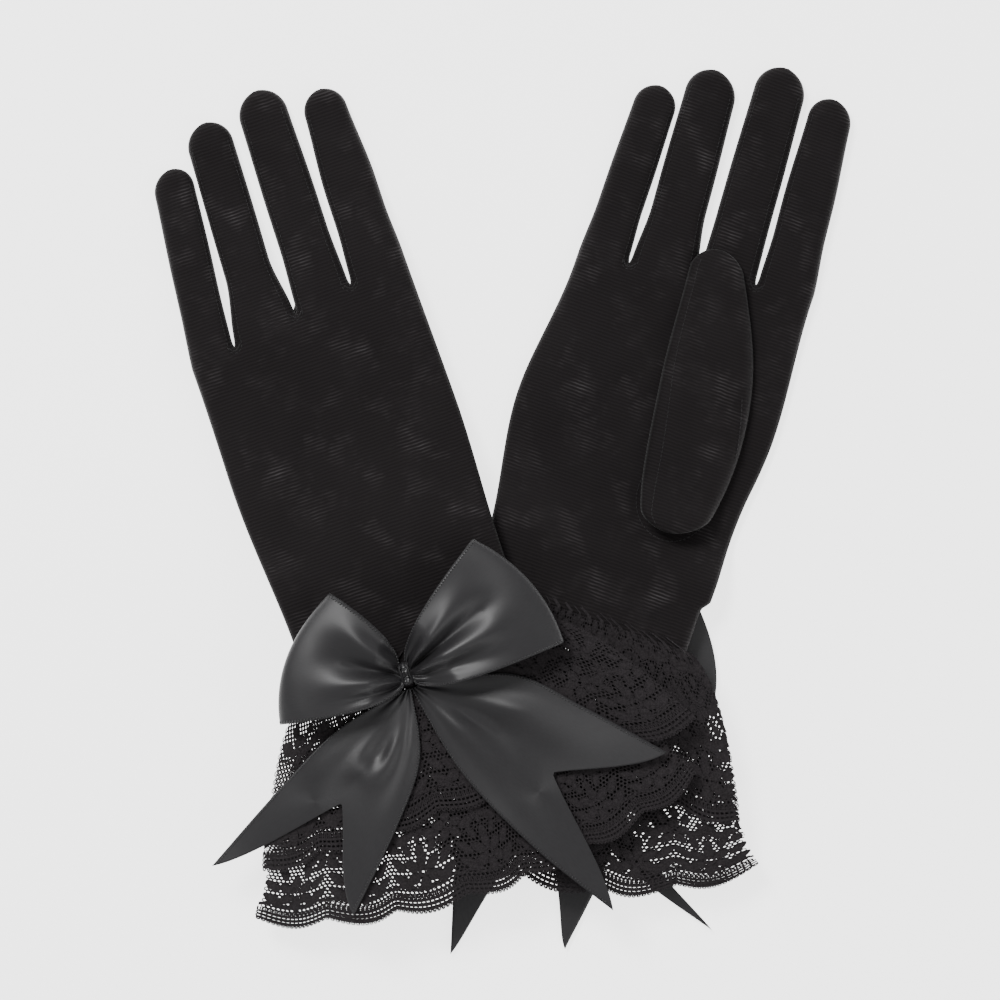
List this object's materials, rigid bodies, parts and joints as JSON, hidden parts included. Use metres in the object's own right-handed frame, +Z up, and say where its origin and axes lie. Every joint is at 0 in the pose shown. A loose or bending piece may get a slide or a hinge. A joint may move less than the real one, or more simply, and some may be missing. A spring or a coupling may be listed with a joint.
{
  "type": "dress gloves",
  "caption": "Pair of short sheer mesh gloves lying crossed, with tiered lace cuffs and satin bows; fingers and thumbs fold and the upper glove lifts off.",
  "frame": {"origin": "on the floor under the middle of the pair's bounding box", "axes": "+Z up, +Y from the cuffs toward the fingertips, +X toward the glove that lies palm up"},
  "size_m": [0.2376, 0.3031, 0.0365],
  "materials": {
    "mesh_knit": "sheer black ribbed stretch mesh, matt with a faint shimmer",
    "lace": "black floral lace on a hexagonal net with a picot edge",
    "satin_ribbon": "black satin ribbon with a soft sheen",
    "elastic": "black narrow woven elastic",
    "jet_glass": "black glass beads, glossy"
  },
  "bodies": {
    "right_hand": {"right_hand_back": "mesh_knit", "right_hand_palm": "mesh_knit", "right_elastic": "elastic", "right_upper_lace_back": "lace", "right_upper_lace_palm": "lace", "right_lower_lace_back": "lace", "right_lower_lace_palm": "lace", "right_bow_knot": "satin_ribbon", "right_bow_bead_1": "jet_glass", "right_bow_bead_2": "jet_glass", "right_bow_loop_left": "satin_ribbon", "right_bow_loop_right": "satin_ribbon"},
    "left_hand": {"left_hand_back": "mesh_knit", "left_hand_palm": "mesh_knit", "left_elastic": "elastic", "left_upper_lace_back": "lace", "left_upper_lace_palm": "lace", "left_lower_lace_back": "lace", "left_lower_lace_palm": "lace", "left_bow_knot": "satin_ribbon", "left_bow_bead_1": "jet_glass", "left_bow_bead_2": "jet_glass"},
    "right_little_finger": {"right_little_back": "mesh_knit", "right_little_palm": "mesh_knit", "right_little_fourchette_inner": "mesh_knit"},
    "right_ring_finger": {"right_ring_back": "mesh_knit", "right_ring_palm": "mesh_knit", "right_ring_fourchette_outer": "mesh_knit", "right_ring_fourchette_inner": "mesh_knit"},
    "right_middle_finger": {"right_middle_back": "mesh_knit", "right_middle_palm": "mesh_knit", "right_middle_fourchette_outer": "mesh_knit", "right_middle_fourchette_inner": "mesh_knit"},
    "right_index_finger": {"right_index_back": "mesh_knit", "right_index_palm": "mesh_knit", "right_index_fourchette_outer": "mesh_knit"},
    "right_thumb": {"right_thumb_inner": "mesh_knit", "right_thumb_outer": "mesh_knit"},
    "left_little_finger": {"left_little_back": "mesh_knit", "left_little_palm": "mesh_knit", "left_little_fourchette_inner": "mesh_knit"},
    "left_ring_finger": {"left_ring_back": "mesh_knit", "left_ring_palm": "mesh_knit", "left_ring_fourchette_outer": "mesh_knit", "left_ring_fourchette_inner": "mesh_knit"},
    "left_middle_finger": {"left_middle_back": "mesh_knit", "left_middle_palm": "mesh_knit", "left_middle_fourchette_outer": "mesh_knit", "left_middle_fourchette_inner": "mesh_knit"},
    "left_index_finger": {"left_index_back": "mesh_knit", "left_index_palm": "mesh_knit", "left_index_fourchette_outer": "mesh_knit"},
    "left_thumb": {"left_thumb_inner": "mesh_knit", "left_thumb_outer": "mesh_knit"},
    "left_bow_left_loop": {"left_bow_loop_left": "satin_ribbon"},
    "left_bow_right_loop": {"left_bow_loop_right": "satin_ribbon"},
    "left_bow_left_tail": {"left_bow_tail_left": "satin_ribbon"},
    "left_bow_right_tail": {"left_bow_tail_right": "satin_ribbon"},
    "right_bow_left_tail": {"right_bow_tail_left": "satin_ribbon"},
    "right_bow_right_tail": {"right_bow_tail_right": "satin_ribbon"}
  },
  "joints": [
    {"name": "left_glove_lift", "type": "slide", "parent": "right_hand", "child": "left_hand", "axis": [0, 0, 1], "range_m": [0, 0.15]},
    {"name": "right_little_fold", "type": "hinge", "parent": "right_hand", "child": "right_little_finger", "pos_m": [0.03935, 0.10018, 0.007], "axis": [0.9846, -0.175, 0], "range_deg": [0, 135]},
    {"name": "right_ring_fold", "type": "hinge", "parent": "right_hand", "child": "right_ring_finger", "pos_m": [0.05928, 0.09664, 0.007], "axis": [0.9846, -0.175, 0], "range_deg": [0, 135]},
    {"name": "right_middle_fold", "type": "hinge", "parent": "right_hand", "child": "right_middle_finger", "pos_m": [0.08021, 0.09292, 0.007], "axis": [0.9846, -0.175, 0], "range_deg": [0, 135]},
    {"name": "right_index_fold", "type": "hinge", "parent": "right_hand", "child": "right_index_finger", "pos_m": [0.10114, 0.0892, 0.007], "axis": [0.9846, -0.175, 0], "range_deg": [0, 135]},
    {"name": "right_thumb_swing", "type": "hinge", "parent": "right_hand", "child": "right_thumb", "pos_m": [0.05743, -0.00702, 0.00905], "axis": [0, 0, -1], "range_deg": [0, 35]},
    {"name": "left_little_fold", "type": "hinge", "parent": "left_hand", "child": "left_little_finger", "pos_m": [-0.10201, 0.06586, 0.01305], "axis": [0.8795, 0.476, 0], "range_deg": [0, 135]},
    {"name": "left_ring_fold", "type": "hinge", "parent": "left_hand", "child": "left_ring_finger", "pos_m": [-0.08421, 0.07549, 0.01305], "axis": [0.8795, 0.476, 0], "range_deg": [0, 135]},
    {"name": "left_middle_fold", "type": "hinge", "parent": "left_hand", "child": "left_middle_finger", "pos_m": [-0.06551, 0.08561, 0.01305], "axis": [0.8795, 0.476, 0], "range_deg": [0, 135]},
    {"name": "left_index_fold", "type": "hinge", "parent": "left_hand", "child": "left_index_finger", "pos_m": [-0.04682, 0.09573, 0.01305], "axis": [0.8795, 0.476, 0], "range_deg": [0, 135]},
    {"name": "left_thumb_swing", "type": "hinge", "parent": "left_hand", "child": "left_thumb", "pos_m": [-0.02112, -0.00678, 0.01165], "axis": [0, 0, -1], "range_deg": [0, 35]},
    {"name": "left_bow_left_loop_lift", "type": "hinge", "parent": "left_hand", "child": "left_bow_left_loop", "pos_m": [-0.03575, -0.05354, 0.0292], "axis": [0.1478, 0.989, 0], "range_deg": [0, 35]},
    {"name": "left_bow_right_loop_lift", "type": "hinge", "parent": "left_hand", "child": "left_bow_right_loop", "pos_m": [-0.02885, -0.05182, 0.0292], "axis": [0.5948, -0.8039, 0], "range_deg": [0, 35]},
    {"name": "left_bow_left_tail_lift", "type": "hinge", "parent": "left_hand", "child": "left_bow_left_tail", "pos_m": [-0.03108, -0.05862, 0.02575], "axis": [-0.8514, 0.5245, 0], "range_deg": [0, 30]},
    {"name": "left_bow_right_tail_lift", "type": "hinge", "parent": "left_hand", "child": "left_bow_right_tail", "pos_m": [-0.02965, -0.05788, 0.02575], "axis": [-0.5424, -0.8401, 0], "range_deg": [0, 30]},
    {"name": "right_bow_left_tail_swing", "type": "hinge", "parent": "right_hand", "child": "right_bow_left_tail", "pos_m": [0.01615, -0.04183, 0.00485], "axis": [0, 0, 1], "range_deg": [-8, 8]},
    {"name": "right_bow_right_tail_swing", "type": "hinge", "parent": "right_hand", "child": "right_bow_right_tail", "pos_m": [0.01937, -0.04293, 0.00485], "axis": [0, 0, 1], "range_deg": [-8, 8]}
  ]
}
